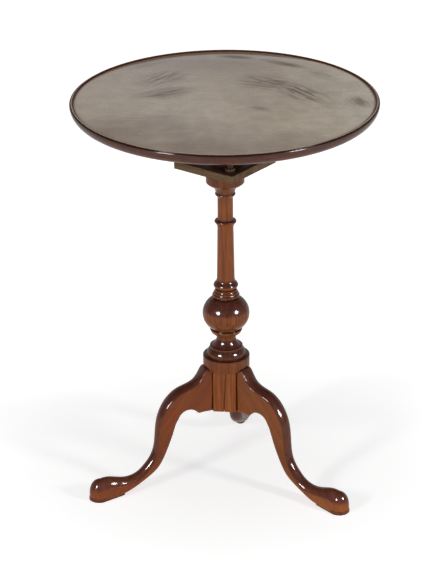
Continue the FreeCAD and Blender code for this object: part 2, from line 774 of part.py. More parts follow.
def pad_shape():
    # Thin pad under the foot: a round toe and a smaller round heel joined by tangent sides
    toe = FreeCAD.Vector(size("pad_reach"), 0, 0)
    toe_radius = size("pad_radius")
    heel_radius = size("pad_heel_radius")
    span = size("pad_length") - heel_radius
    heel = toe - FreeCAD.Vector(span, 0, 0)
    lean = math.asin((toe_radius - heel_radius) / span)
    left = FreeCAD.Vector(-math.sin(lean), math.cos(lean), 0)
    right = FreeCAD.Vector(-math.sin(lean), -math.cos(lean), 0)
    front = FreeCAD.Vector(1, 0, 0)
    plan = Part.Wire([
        Part.Arc(toe + right * toe_radius, toe + front * toe_radius, toe + left * toe_radius).toShape(),
        Part.LineSegment(toe + left * toe_radius, heel + left * heel_radius).toShape(),
        Part.Arc(heel + left * heel_radius, heel - front * heel_radius, heel + right * heel_radius).toShape(),
        Part.LineSegment(heel + right * heel_radius, toe + right * toe_radius).toShape(),
    ])
    return Part.Face(plan).extrude(FreeCAD.Vector(0, 0, size("pad_height")))


def leg_shape():
    # Cabriole leg toward +X: lofted template, sawn cusp and arch, dovetail tongue, turned pad foot
    hub = size("hub_bottom")
    pad = size("pad_reach")
    thick = size("leg_thickness")
    sawn = size("sawn_round")
    waste = hub - size("saw_waste")
    seat = size("leg_seat")
    leg_round = size("leg_round")
    pad_top = size("pad_height")
    dome_top = pad_top + size("foot_wall") + size("foot_dome")
    knee_under = (size("knee_under"), hub - size("knee_under_drop"))
    foot_reach = pad - size("foot_back")
    sections = [
        leg_section((seat, number(drum_bottom)), (seat, waste), thick, size("root_round"), sawn),
        leg_section((size("lip_reach"), hub + size("lip_rise")), (size("lip_reach"), waste), thick,
                    size("lip_round"), sawn),
        leg_section((size("hollow_reach"), hub + size("hollow_rise")), (size("hollow_under"), waste), thick,
                    leg_round, sawn),
        leg_section((size("slope_reach"), hub + size("slope_rise")), (size("slope_under"), waste), thick,
                    leg_round, sawn),
        leg_section((size("knee_reach"), hub + size("knee_rise")), knee_under, thick, leg_round, sawn),
    ]
    for name in ("shin", "calf", "ankle"):
        sections.append(leg_section(
            (size(name + "_reach"), size(name + "_height")),
            (size(name + "_under"), size(name + "_under_height")),
            size(name + "_width"), size(name + "_round"), size(name + "_under_round")))
    for name, carved in (("instep", False), ("heel", True)):
        sections.append(leg_section(
            (pad - size(name + "_back"), size(name + "_height")),
            (pad - size(name + "_under_back"), size(name + "_under_height")),
            size(name + "_width"), size(name + "_round"), size(name + "_under_round"), carved))
    ball_reach = pad - size("ball_back")
    sections.append(leg_section((ball_reach, size("ball_crown_height")), (ball_reach, pad_top - sawn),
                                size("ball_width"), size("ball_round"), sawn, True))
    sections.append(leg_section((foot_reach, dome_top - sawn), (foot_reach, pad_top - sawn),
                                size("foot_width"), size("foot_dome") - sawn, sawn, True))
    blank = Part.makeLoft(sections, True, False)

    cusp = FreeCAD.Vector(size("cusp_reach"), -thick, hub - size("cusp_drop"))
    arch = FreeCAD.Vector(size("arch_reach"), -thick, hub + size("arch_rise"))
    arch_end = FreeCAD.Vector(knee_under[0], -thick, knee_under[1] - sawn)
    low = hub - thick
    saw_path = [
        FreeCAD.Vector(arch_end.x, -thick, low),
        FreeCAD.Vector(seat - thick, -thick, low),
        FreeCAD.Vector(seat - thick, -thick, hub),
        FreeCAD.Vector(size("cusp_start"), -thick, hub),
        cusp,
    ]
    saw_edges = [Part.LineSegment(a, b).toShape() for a, b in zip(saw_path, saw_path[1:])]
    saw_edges.append(Part.Arc(cusp, arch, arch_end).toShape())
    saw_edges.append(Part.LineSegment(arch_end, saw_path[0]).toShape())
    waste_piece = Part.Face(Part.Wire(saw_edges)).extrude(FreeCAD.Vector(0, 2 * thick, 0))
    drum = Part.makeCylinder(size("drum_radius"), size("drum_height"), FreeCAD.Vector(0, 0, number(drum_bottom)))

    nail_hole = Part.makeCylinder(size("nail_radius"), size("nail_length"),
                                  FreeCAD.Vector(number(leg_nail_reach), 0, hub))
    leg = blank.cut(waste_piece).cut(drum).fuse([foot_shape(), pad_shape(), tongue.Shape]).cut(nail_hole)
    return leg.removeSplitter()


legs = []
whole_leg = leg_shape()
for name, turn in leg_turns.items():
    leg = doc.addObject("Part::Feature", "leg_" + name)
    leg.Shape = whole_leg.Solids[0]
    leg.Placement = FreeCAD.Placement(FreeCAD.Vector(0, 0, 0), FreeCAD.Rotation(FreeCAD.Vector(0, 0, 1), turn))
    legs.append(leg)

# Battens screwed under the top on both sides of the cage, bored for the pivots
half_batten = "(sizes.batten_length/2)"
taper_start = "(%s-sizes.batten_taper)" % half_batten
batten_low = "(%s-sizes.batten_depth)" % underside
batten_tip = "(%s-sizes.batten_end)" % underside
batten_middle = "(%s+sizes.batten_play+sizes.batten_thickness/2)" % half_cage
head_seat = "(%s+sizes.screw_well)" % batten_low
shank_foot = "(%s+sizes.screw_head_height)" % head_seat
shank_length = "(%s+sizes.screw_bite-%s)" % (underside, shank_foot)
battens = []
screws = []
for name, sign in (("near", "-1"), ("far", "1")):
    across = "%s*%s" % (sign, batten_middle)
    board = slab("batten_%s_board" % name, "XZ_Plane", [
        ("-%s" % half_batten, underside),
        ("-%s" % half_batten, batten_tip),
        ("-%s" % taper_start, batten_low),
        (taper_start, batten_low),
        (half_batten, batten_tip),
        (half_batten, underside),
    ], "sizes.batten_thickness")
    place(board, y=across)
    bore = rod("batten_%s_bore" % name, ("sizes.hinge_reach", batten_outside, pivot_level),
               "sizes.pivot_radius+sizes.pivot_play", "2*%s" % batten_outside, FreeCAD.Vector(0, -1, 0))
    wells = []
    own_screws = []
    for index, reach in enumerate(("-sizes.screw_spread", "0", "sizes.screw_spread"), start=1):
        label = "screw_%s_%d" % (name, index)
        wells.append(rod(label + "_well", (reach, across, batten_low), "sizes.screw_head_radius",
                         "sizes.screw_well"))
        head = cone(label + "_head", (reach, across, head_seat), "sizes.screw_head_radius",
                    "sizes.screw_radius", "sizes.screw_head_height")
        shank = rod(label + "_shank", (reach, across, shank_foot), "sizes.screw_radius", shank_length)
        own_screws.append(fuse(label, [head, shank]))
    battens.append(cut("batten_" + name, board, [bore] + wells + own_screws))
    screws += own_screws
batten_screws = group("batten_screws", screws)

# Brass catch: plate with two keepers screwed under the top, and a sliding bolt with a knob
catch_front = "(-%s-sizes.catch_setback)" % half_cage
catch_back = "(%s-sizes.catch_length)" % catch_front
bolt_top = "(%s-sizes.bolt_play)" % strike_seat
bolt_low = "(%s-sizes.bolt_thickness)" % bolt_top
keeper_low = "(%s-sizes.bolt_play-sizes.keeper_wall)" % bolt_low
keeper_width = "(sizes.bolt_width+2*sizes.bolt_play+2*sizes.keeper_wall)"
keeper_room = "(sizes.bolt_width+2*sizes.bolt_play)"
catch_base = box("catch_base", (catch_back, "-sizes.catch_width/2", strike_seat),
                 ("sizes.catch_length", "sizes.catch_width", "sizes.catch_thickness"))
keepers = []
for name, start in (("front", "(%s-sizes.keeper_inset-sizes.keeper_length)" % catch_front),
                    ("back", "(%s+sizes.keeper_inset)" % catch_back)):
    keepers.append(box("keeper_" + name, (start, "-%s/2" % keeper_width, keeper_low),
                       ("sizes.keeper_length", keeper_width, "%s-%s" % (strike_seat, keeper_low))))
bolt_way = box("bolt_way", (catch_back, "-%s/2" % keeper_room, "%s-sizes.bolt_play" % bolt_low),
               ("sizes.catch_length", keeper_room, "sizes.bolt_thickness+2*sizes.bolt_play"))
catch_screw_side = "(sizes.catch_width/2-sizes.catch_screw_inset)"
catch_screws_made = []
for index, (reach, sign) in enumerate((
        ("(%s-sizes.catch_screw_inset)" % catch_front, "-1"),
        ("(%s-sizes.catch_screw_inset)" % catch_front, "1"),
        ("(%s+sizes.catch_screw_inset)" % catch_back, "-1"),
        ("(%s+sizes.catch_screw_inset)" % catch_back, "1")), start=1):
    label = "catch_screw_%d" % index
    across = "%s*%s" % (sign, catch_screw_side)
    head = rod(label + "_head", (reach, across, "%s-sizes.catch_screw_cap" % strike_seat),
               "sizes.catch_screw_head", "sizes.catch_screw_cap")
    shank = pin(label + "_shank", reach, across, strike_seat,
                "sizes.catch_screw_bite+sizes.catch_thickness")
    catch_screws_made.append(fuse(label, [head, shank]))
catch_screws = group("catch_screws", catch_screws_made)
catch_plate = cut("catch_plate", fuse("catch_blank", [catch_base] + keepers), [bolt_way, catch_screws])
bolt_nose = "(-%s-sizes.bolt_setback)" % half_cage
bolt_end = "(%s-sizes.bolt_tail)" % catch_back
bolt_bar = box("bolt_bar", (bolt_end, "-sizes.bolt_width/2", bolt_low),
               ("%s-%s" % (bolt_nose, bolt_end), "sizes.bolt_width", "sizes.bolt_thickness"))
knob_low = "(%s-sizes.knob_height)" % bolt_low
knob = turning("knob", [
    ("0", knob_low),
    ("sizes.knob_neck", knob_low, "sizes.knob_round", 1),
    ("sizes.knob_radius", "(%s+sizes.knob_belly)" % knob_low, "sizes.knob_round", 1),
    ("sizes.knob_neck", "(%s-sizes.knob_stem)" % bolt_low),
    ("sizes.knob_neck", bolt_low),
    ("0", bolt_low),
])
place(knob, x="(%s+sizes.knob_radius)" % bolt_end)
catch_bolt = fuse("catch_bolt", [bolt_bar, knob])

# Tray top, with pilot holes for the screws of the battens and the catch
tray_top = cut("tray_top", tray_blank, [batten_screws, catch_screws])

nodes = [tray_top, *battens, batten_screws, catch_plate, catch_screws, catch_bolt, strike_plate, strike_pins,
         cage_upper_plate, cage_lower_plate, *colonnettes, collar, key_wedge, column, *legs, brace_plate,
         brace_nails]
doc.recompute()
for item in doc.Objects:
    if "Invalid" in item.State or "Error" in item.State:
        raise RuntimeError("%s failed: %s" % (item.Name, item.State))
os.makedirs("parts", exist_ok=True)
for item in nodes:
    shape = item.Shape
    if shape.isNull() or not shape.isValid():
        raise RuntimeError("%s has no valid shape" % item.Name)
    item.Label = item.Name
    shape.exportStep("parts/%s.step" % item.Label)
    print("%-18s solids %d volume %.0f" % (item.Label, len(shape.Solids), shape.Volume))
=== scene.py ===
import json
import math
import bpy
from mathutils import Euler, Matrix, Vector

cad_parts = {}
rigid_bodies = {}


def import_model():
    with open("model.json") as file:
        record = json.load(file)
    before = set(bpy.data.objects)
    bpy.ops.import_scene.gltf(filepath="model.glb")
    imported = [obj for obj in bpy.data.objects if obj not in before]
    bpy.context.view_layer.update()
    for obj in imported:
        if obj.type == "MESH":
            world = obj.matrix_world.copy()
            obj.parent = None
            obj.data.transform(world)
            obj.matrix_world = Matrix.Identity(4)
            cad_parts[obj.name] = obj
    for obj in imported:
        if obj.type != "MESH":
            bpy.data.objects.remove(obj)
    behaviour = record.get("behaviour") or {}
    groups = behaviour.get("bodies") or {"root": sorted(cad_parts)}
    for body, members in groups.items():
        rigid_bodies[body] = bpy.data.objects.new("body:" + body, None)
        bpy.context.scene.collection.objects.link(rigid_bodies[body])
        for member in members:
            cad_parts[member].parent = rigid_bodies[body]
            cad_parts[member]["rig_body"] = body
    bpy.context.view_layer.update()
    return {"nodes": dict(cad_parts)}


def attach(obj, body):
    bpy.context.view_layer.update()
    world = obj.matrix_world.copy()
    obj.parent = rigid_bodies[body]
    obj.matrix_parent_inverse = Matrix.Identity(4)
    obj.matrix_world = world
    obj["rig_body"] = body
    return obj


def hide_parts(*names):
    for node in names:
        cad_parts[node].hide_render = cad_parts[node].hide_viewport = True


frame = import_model()
print("frame loaded:", len(frame["nodes"]), "nodes")


def deselectAll():
    if bpy.context.mode != "OBJECT":
        bpy.ops.object.mode_set(mode="OBJECT")
    bpy.ops.object.select_all(action="DESELECT")


def pickOnly(piece):
    deselectAll()
    piece.select_set(True)
    bpy.context.view_layer.objects.active = piece


deselectAll()

# Camera, at the height and turn of the photograph
cameraView = {
    "turn": 37.2,                          # degrees about the column, from looking along +Y
    "place": (-0.0104, -4.5253, 2.3607),   # metres, before that turn
    "lookDown": 23.81,                     # degrees below level
    "roll": -0.45,
    "lens": 174.09, "sensor": 36,          # millimetres
    "farthest": 100,                       # metres
}
turnTable = Matrix.Rotation(math.radians(cameraView["turn"]), 4, "Z")
bpy.ops.object.camera_add()
camera = bpy.context.object
camera.name = "photoCamera"
camera.data.lens = cameraView["lens"]
camera.data.sensor_width = cameraView["sensor"]
camera.data.clip_end = cameraView["farthest"]
tilted = Euler((math.radians(90 - cameraView["lookDown"]), 0, 0)).to_matrix().to_4x4()
rolled = Matrix.Rotation(math.radians(cameraView["roll"]), 4, "Z")
camera.matrix_world = turnTable @ Matrix.Translation(cameraView["place"]) @ tilted @ rolled
bpy.context.scene.camera = camera


# Short ways to wire node trees
def addNode(tree, kind, **values):
    node = tree.nodes.new(kind)
    for key, value in values.items():
        if key in node.inputs:
            node.inputs[key].default_value = value
        else:
            setattr(node, key, value)
    return node


def feed(tree, value, socket):
    if isinstance(value, bpy.types.NodeSocket):
        tree.links.new(value, socket)
    elif isinstance(value, tuple) and socket.type == "RGBA":
        socket.default_value = (*value, 1)
    else:
        socket.default_value = value


def calc(tree, operation, first, second=0.0, clamp=False):
    node = addNode(tree, "ShaderNodeMath", operation=operation, use_clamp=clamp)
    feed(tree, first, node.inputs[0])
    feed(tree, second, node.inputs[1])
    return node.outputs[0]


def vectorCalc(tree, operation, first, second):
    node = addNode(tree, "ShaderNodeVectorMath", operation=operation)
    feed(tree, first, node.inputs[0])
    feed(tree, second, node.inputs["Scale"] if operation == "SCALE" else node.inputs[1])
    return node.outputs["Value"] if operation in ("DOT_PRODUCT", "LENGTH") else node.outputs["Vector"]


def lengthOf(tree, vector):
    return vectorCalc(tree, "LENGTH", vector, (0.0, 0.0, 0.0))


def scaled(tree, colour, factor):
    return vectorCalc(tree, "SCALE", colour, factor)


def stretched(tree, vector, factors):
    return vectorCalc(tree, "MULTIPLY", vector, factors)


def combined(tree, x=0.0, y=0.0, z=0.0):
    node = addNode(tree, "ShaderNodeCombineXYZ")
    for part, socket in zip((x, y, z), node.inputs):
        feed(tree, part, socket)
    return node.outputs[0]


def heightOf(tree, vector):
    axes = addNode(tree, "ShaderNodeSeparateXYZ")
    feed(tree, vector, axes.inputs[0])
    return axes.outputs["Z"]


def spread(tree, value, low, high, toLow=0.0, toHigh=1.0, smooth=True):
    node = addNode(tree, "ShaderNodeMapRange")
    node.interpolation_type = "SMOOTHSTEP" if smooth else "LINEAR"
    sockets = ("Value", "From Min", "From Max", "To Min", "To Max")
    for name, part in zip(sockets, (value, low, high, toLow, toHigh)):
        feed(tree, part, node.inputs[name])
    return node.outputs["Result"]


def noise(tree, vector, scale, detail=2.0, rough=0.5):
    node = addNode(tree, "ShaderNodeTexNoise", Scale=scale, Detail=detail, Roughness=rough)
    feed(tree, vector, node.inputs["Vector"])
    return node.outputs["Fac"]


def blend(tree, factor, first, second):
    node = addNode(tree, "ShaderNodeMix", data_type="RGBA", blend_type="MIX")
    feed(tree, factor, node.inputs[0])
    feed(tree, first, node.inputs[6])
    feed(tree, second, node.inputs[7])
    return node.outputs[2]


def bumpFrom(tree, height, strength, distance):
    node = addNode(tree, "ShaderNodeBump", Strength=strength, Distance=distance)
    feed(tree, height, node.inputs["Height"])
    return node.outputs["Normal"]


def objectPlace(tree):
    return addNode(tree, "ShaderNodeTexCoord").outputs["Object"]


def objectNormal(tree):
    return addNode(tree, "ShaderNodeTexCoord").outputs["Normal"]


def facingUp(tree):
    return heightOf(tree, objectNormal(tree))


def crevices(tree, reach, alone=True):
    # 1 in the open, towards 0 in corners within this reach
    node = addNode(tree, "ShaderNodeAmbientOcclusion", Distance=reach, only_local=alone, samples=6)
    return node.outputs["AO"]


def polar(degrees, out):
    turned = math.radians(degrees)
    return Vector((math.cos(turned), math.sin(turned), 0)) * out


def newMaterial(name):
    material = bpy.data.materials.new(name)
    material.use_nodes = True
    tree = material.node_tree
    return material, tree, tree.nodes["Principled BSDF"]


# Studio: white floor, pale backdrop behind the table, dark room in front, lamps above and on both sides
studio = {
    "floorHalf": 40.0,                     # metres
    "floorColour": 0.6, "floorRough": 0.9,
    "floorGlow": (0.68, 0.92),             # under the table and far from it
    "glowReach": (0.25, 1.3),              # metres from the column
    "backdropLevel": 1.0,
    "backdropSide": (0.1, 0.55),           # how far a direction points away from the camera
    "backdropTop": (0.33, 0.62),           # how far it points up, where the backdrop fades out
    "roomLevel": 0.02,
    "fillLevel": 0.12,
    # lamp: turn from the camera and height in degrees, metres away, width, watts, and what it shines on.
    # The lamps for polish stand nearer than the fill lamps in line with them.
    "lamps": {
        "overhead": (0, 90, 2.3, 1.5, 18, "matt"),
        "fillLeft": (-41, 21, 3.2, 0.53, 32, "matt"),
        "fillRight": (57, 21, 3.2, 0.53, 32, "matt"),
        "catchLeft": (-41, 21, 3.0, 1.0, 260, "polish"),
        "catchRight": (57, 21, 3.0, 1.0, 260, "polish"),
        "edgeLeft": (-41, 1, 3.0, 0.8, 220, "trayPolish"),
        "edgeRight": (57, 1, 3.0, 0.8, 220, "trayPolish"),
    },
    "lampAim": (0, 0, 0.35),
}
# each lamp for polish lights only the pieces in its own group
polished = {name: bpy.data.collections.new(name) for name in ("polish", "trayPolish")}
viewAway = turnTable.to_3x3() @ Vector((0, 1, 0))


def makeFloor():
    bpy.ops.mesh.primitive_plane_add(size=2 * studio["floorHalf"])
    floor = bpy.context.object
    floor.name = "floor"
    material, tree, shader = newMaterial("whiteFloor")
    level = studio["floorColour"]
    shader.inputs["Base Color"].default_value = (level, level, level, 1)
    shader.inputs["Roughness"].default_value = studio["floorRough"]
    shader.inputs["Specular IOR Level"].default_value = 0
    shader.inputs["Emission Color"].default_value = (1, 1, 1, 1)
    glow = spread(tree, lengthOf(tree, objectPlace(tree)), *studio["glowReach"], *studio["floorGlow"])
    feed(tree, glow, shader.inputs["Emission Strength"])
    floor.data.materials.append(material)


def makeWorld():
    world = bpy.data.worlds.new("studioWorld")
    bpy.context.scene.world = world
    world.use_nodes = True
    tree = world.node_tree
    background = tree.nodes["Background"]
    heading = addNode(tree, "ShaderNodeTexCoord").outputs["Generated"]
    rays = addNode(tree, "ShaderNodeLightPath").outputs
    behind = spread(tree, vectorCalc(tree, "DOT_PRODUCT", heading, viewAway), *studio["backdropSide"])
    lowDown = spread(tree, heightOf(tree, heading), *studio["backdropTop"], 1.0, 0.0)
    backdrop = calc(tree, "MULTIPLY", behind, lowDown)
    mirrored = spread(tree, backdrop, 0.0, 1.0, studio["roomLevel"], studio["backdropLevel"], smooth=False)
    glossy = calc(tree, "ADD", rays["Is Glossy Ray"], rays["Is Transmission Ray"], clamp=True)
    unseen = spread(tree, glossy, 0.0, 1.0, studio["fillLevel"], mirrored, smooth=False)
    level = spread(tree, rays["Is Camera Ray"], 0.0, 1.0, unseen, 1.0, smooth=False)
    feed(tree, (1.0, 1.0, 1.0), background.inputs["Color"])
    feed(tree, level, background.inputs["Strength"])


def makeLamps():
    aim = Vector(studio["lampAim"])
    for name, (turn, rise, far, width, watts, shinesOn) in studio["lamps"].items():
        across = math.radians(turn)
        up = math.radians(rise)
        toLamp = Vector((math.sin(across) * math.cos(up), -math.cos(across) * math.cos(up), math.sin(up)))
        bpy.ops.object.light_add(type="AREA")
        lamp = bpy.context.object
        lamp.name = "lamp_" + name
        lamp.data.shape = "DISK"
        lamp.data.size = width
        lamp.data.energy = watts
        lamp.location = aim + turnTable.to_3x3() @ toLamp * far
        lamp.rotation_euler = (lamp.location - aim).to_track_quat("Z", "Y").to_euler()
        lamp.visible_glossy = shinesOn != "matt"
        lamp.visible_diffuse = shinesOn == "matt"
        lamp.visible_camera = False
        if shinesOn != "matt":
            lamp.light_linking.receiver_collection = polished[shinesOn]


makeFloor()
makeWorld()
makeLamps()
bpy.context.scene.view_settings.view_transform = "Standard"
print("studio ready")

# Mahogany: soft figure, fine lines and pores along the grain, painted shade and grime in the quirks,
# painted shade on upward faces and leg crowns, painted light and shade by level, a thin clear polish
woodGrain = {
    "driftScale": 5.0, "driftReach": 0.02,   # slow waving of the grain, the reach in metres
    "figureStretch": 0.035, "figureDetail": (4.0, 0.6),
    # pattern: stretch along the grain, scale, detail, roughness
    "lines": (0.03, 420.0, 3.0, 0.6),
    "pores": (0.09, 950.0, 1.0, 0.5),
    "patina": (1.0, 8.0, 3.0, 0.5),
    "ripple": (1.0, 55.0, 1.0, 0.5),
}
woodTone = {
    # range of a pattern or mask that counts, and what it gives
    "figure": (0.25, 0.75),
    "lines": (0.3, 0.7),
    "lineLift": 0.4,                       # how much paler the wood is between lines, per depth of a line
    "lineRough": 0.06,
    "patina": (0.3, 0.72, 0.84, 1.10),
    "pores": (0.62, 0.74),
    "poreDip": -0.25,
    "clear": (0.40, 0.95),
    # masks and tone of the painted shade
    "roofed": (0.30, 0.75, 1.0, 0.0),
    "legSide": (0.72, 0.92, 1.0, 0.0),
    "aboveFoot": (0.030, 0.055),           # metres
    "shade": (0.8, 1.2),
    "underside": (-0.8, -0.2),
    "scuffCore": 0.4,                      # share of a dull spot's radius
    "bumpDepth": 0.0006,
}


def grainSpace(tree, lengthwise, turn):
    # Object coordinates laid so that the wood's grain runs along Z, gently waved
    facing = addNode(tree, "ShaderNodeMapping")
    facing.inputs["Rotation"].default_value = (0, 0, -math.radians(turn))
    feed(tree, objectPlace(tree), facing.inputs["Vector"])
    lie = addNode(tree, "ShaderNodeMapping")
    upright = Vector(lengthwise).rotation_difference(Vector((0, 0, 1)))
    lie.inputs["Rotation"].default_value = upright.to_euler()
    feed(tree, facing.outputs[0], lie.inputs["Vector"])
    drift = addNode(tree, "ShaderNodeTexNoise", Scale=woodGrain["driftScale"], Detail=1.0)
    feed(tree, lie.outputs[0], drift.inputs["Vector"])
    waves = scaled(tree, drift.outputs["Color"], woodGrain["driftReach"])
    return vectorCalc(tree, "ADD", lie.outputs[0], waves)


def woodNoise(tree, wood, stretch, scale, detail, rough):
    return noise(tree, stretched(tree, wood, (1.0, 1.0, stretch)), scale, detail, rough)


def paintedShadeParts(tree, recipe, turn, level, upward):
    # 1 where shade is painted into the colour: on upward faces, for some woods only under a roof close
    #                                           above, and on a leg's crown
    paintedShade = spread(tree, upward, *recipe["shadeFrom"])
    if recipe["roofReach"]:
        roofed = spread(tree, crevices(tree, recipe["roofReach"], False), *woodTone["roofed"])
        paintedShade = calc(tree, "MULTIPLY", paintedShade, roofed)
    if recipe["crowned"]:
        side = vectorCalc(tree, "DOT_PRODUCT", objectNormal(tree), polar(turn + 90, 1))
        crown = spread(tree, calc(tree, "ABSOLUTE", side), *woodTone["legSide"])
        onLeg = spread(tree, level, *woodTone["aboveFoot"], 0.0, recipe["crowned"])
        paintedShade = calc(tree, "MAXIMUM", paintedShade, calc(tree, "MULTIPLY", crown, onLeg))
    return paintedShade


def clearPolish(tree, recipe, place, upward):
    coat = spread(tree, upward, *woodTone["underside"], recipe["underCoat"], recipe["coat"])
    for middle, size in recipe["scuffs"]:
        away = lengthOf(tree, vectorCalc(tree, "SUBTRACT", place, middle))
        coat = calc(tree, "MULTIPLY", coat, spread(tree, away, woodTone["scuffCore"] * size, size))
    return coat


def mahogany(name, recipe, turn=0.0):
    material, tree, shader = newMaterial(name)
    wood = grainSpace(tree, recipe["along"], turn)
    figure = woodNoise(tree, wood, woodGrain["figureStretch"], recipe["figure"], *woodGrain["figureDetail"])
    lines = woodNoise(tree, wood, *woodGrain["lines"])
    pores = woodNoise(tree, wood, *woodGrain["pores"])
    patina = woodNoise(tree, wood, *woodGrain["patina"])
    ripple = woodNoise(tree, wood, *woodGrain["ripple"])
    tone = spread(tree, figure, *woodTone["figure"])
    lineDepth = recipe["lineDepth"]
    fine = spread(tree, lines, *woodTone["lines"], 1.0 - lineDepth, 1.0 + woodTone["lineLift"] * lineDepth)
    colour = scaled(tree, blend(tree, tone, recipe["dark"], recipe["light"]), fine)
    colour = scaled(tree, colour, spread(tree, patina, *woodTone["patina"]))
    poreMask = spread(tree, pores, *woodTone["pores"])
    colour = blend(tree, calc(tree, "MULTIPLY", poreMask, recipe["poreDepth"]), colour, recipe["pore"])
    place = objectPlace(tree)
    level = heightOf(tree, place)
    upward = facingUp(tree)
    # painted shade: the shade colour laid over upward faces, roofed faces and leg crowns
    shadeTone = calc(tree, "MULTIPLY", fine, spread(tree, tone, 0.0, 1.0, *woodTone["shade"]))
    paintedShade = paintedShadeParts(tree, recipe, turn, level, upward)
    colour = blend(tree, paintedShade, colour, scaled(tree, recipe["shade"], shadeTone))
    # painted light and shade: the colour brightened or darkened by level
    for levelLight in recipe["lightByLevel"]:
        colour = scaled(tree, colour, spread(tree, level, *levelLight))
    # painted shade and grime: a dark colour laid where ambient occlusion finds corners
    clear = spread(tree, crevices(tree, recipe["grimeAndShadeReach"], recipe["alone"]), *woodTone["clear"])
    colour = blend(tree, clear, recipe["grimeAndShade"], colour)
    feed(tree, colour, shader.inputs["Base Color"])
    rough = recipe["rough"]
    lineRough = spread(tree, lines, *woodTone["lines"], rough + woodTone["lineRough"], rough)
    feed(tree, lineRough, shader.inputs["Roughness"])
    shader.inputs["Specular IOR Level"].default_value = recipe["shine"]
    feed(tree, clearPolish(tree, recipe, place, upward), shader.inputs["Coat Weight"])
    shader.inputs["Coat Roughness"].default_value = recipe["coatRough"]
    height = calc(tree, "ADD", calc(tree, "MULTIPLY", poreMask, woodTone["poreDip"]), ripple)
    feed(tree, bumpFrom(tree, height, recipe["bump"], woodTone["bumpDepth"]), shader.inputs["Normal"])
    return material


columnRecipe = {
    "dark": (0.165, 0.039, 0.007), "light": (0.252, 0.070, 0.012), "pore": (0.040, 0.010, 0.004),
    "grimeAndShade": (0.018, 0.005, 0.002), "grimeAndShadeReach": 0.006, "alone": False,
    "along": (0, 0, 1), "figure": 150.0, "lineDepth": 0.28, "poreDepth": 0.5,
    # shade: colour of the painted shade; shadeFrom: how far a face looks up where it begins and where it is
    # full
    "shade": (0.100, 0.028, 0.017), "shadeFrom": (0.10, 0.34), "roofReach": 0, "crowned": 0,
    "rough": 0.45, "shine": 0.03, "coat": 0.30, "underCoat": 0.8, "coatRough": 0.04, "bump": 0.006,
    # dull spots in the polish: middle and radius in metres
    "scuffs": (),
    # painted light and shade by level: level from and to in metres, and what the colour is multiplied by
    # there
    "lightByLevel": ((0.2174, 0.2182, 1.46, 0.95), (0.262, 0.275, 1.09, 1.0), (0.300, 0.330, 0.83, 1.06),
              (0.518, 0.565, 1.0, 0.56)),
}
legRecipe = dict(
    columnRecipe, dark=(0.195, 0.049, 0.010), light=(0.240, 0.067, 0.013), along=(0.62, 0, -0.78),
    figure=110.0, lineDepth=0.14, shade=(0.100, 0.028, 0.016), crowned=0.45, coat=0.3, underCoat=0.3,
    # painted light on the feet, and a painted dark line of shade at the pad's foot
    lightByLevel=((0.030, 0.070, 1.4, 1.0), (0.0025, 0.0050, 0.35, 1.0)), grimeAndShadeReach=0.003)
# stronger painted shade on this leg's crown
rightLegRecipe = dict(legRecipe, crowned=0.85)
leftLegRecipe = dict(
    legRecipe, dark=(0.165, 0.036, 0.007), light=(0.205, 0.048, 0.009),
    scuffs=(((-0.0965, -0.1911, 0.0286), 0.009), ((-0.1104, -0.2148, 0.0343), 0.009)))
# the rear leg stands in the table's shade: its colours are a darkened copy of the leg wood, painted shade
shadedRearLegRecipe = dict(legRecipe, dark=(0.060, 0.017, 0.008), light=(0.080, 0.024, 0.012))
cageRecipe = {
    "dark": (0.090, 0.049, 0.024), "light": (0.176, 0.102, 0.054), "pore": (0.03, 0.015, 0.008),
    "grimeAndShade": (0.012, 0.008, 0.006), "grimeAndShadeReach": 0.02, "alone": True,
    "along": (1, 0, 0), "figure": 60.0, "lineDepth": 0.3, "poreDepth": 0.6,
    # painted shade on upward faces, only where a roof within roofReach shades them
    "shade": (0.030, 0.0115, 0.006), "shadeFrom": (0.1, 0.8), "roofReach": 0.12, "crowned": 0,
    "rough": 0.55, "shine": 0.04, "coat": 0.02, "underCoat": 0.02, "coatRough": 0.2, "bump": 0.08,
    "scuffs": (), "lightByLevel": (),
}
battenRecipe = dict(
    cageRecipe, dark=(0.10, 0.056, 0.026), light=(0.19, 0.11, 0.055), shade=(0.05, 0.028, 0.014))
postRecipe = dict(
    cageRecipe, dark=(0.060, 0.026, 0.011), light=(0.130, 0.060, 0.026), along=(0, 0, 1), grimeAndShadeReach=0.006,
    shade=(0.050, 0.022, 0.010), roofReach=0, coat=0.25, underCoat=0.25, coatRough=0.08)
columnWood = mahogany("columnWood", columnRecipe)
legWoods = {
    # with each leg's turn about the column in degrees
    "right": mahogany("legWood_right", rightLegRecipe, 0),
    "rear": mahogany("legWood_rear_shaded", shadedRearLegRecipe, 120),
    "left": mahogany("legWood_left", leftLegRecipe, 240),
}
cageWood = mahogany("cageWood", cageRecipe)
battenWood = mahogany("battenWood", battenRecipe)
postWood = mahogany("postWood", postRecipe)
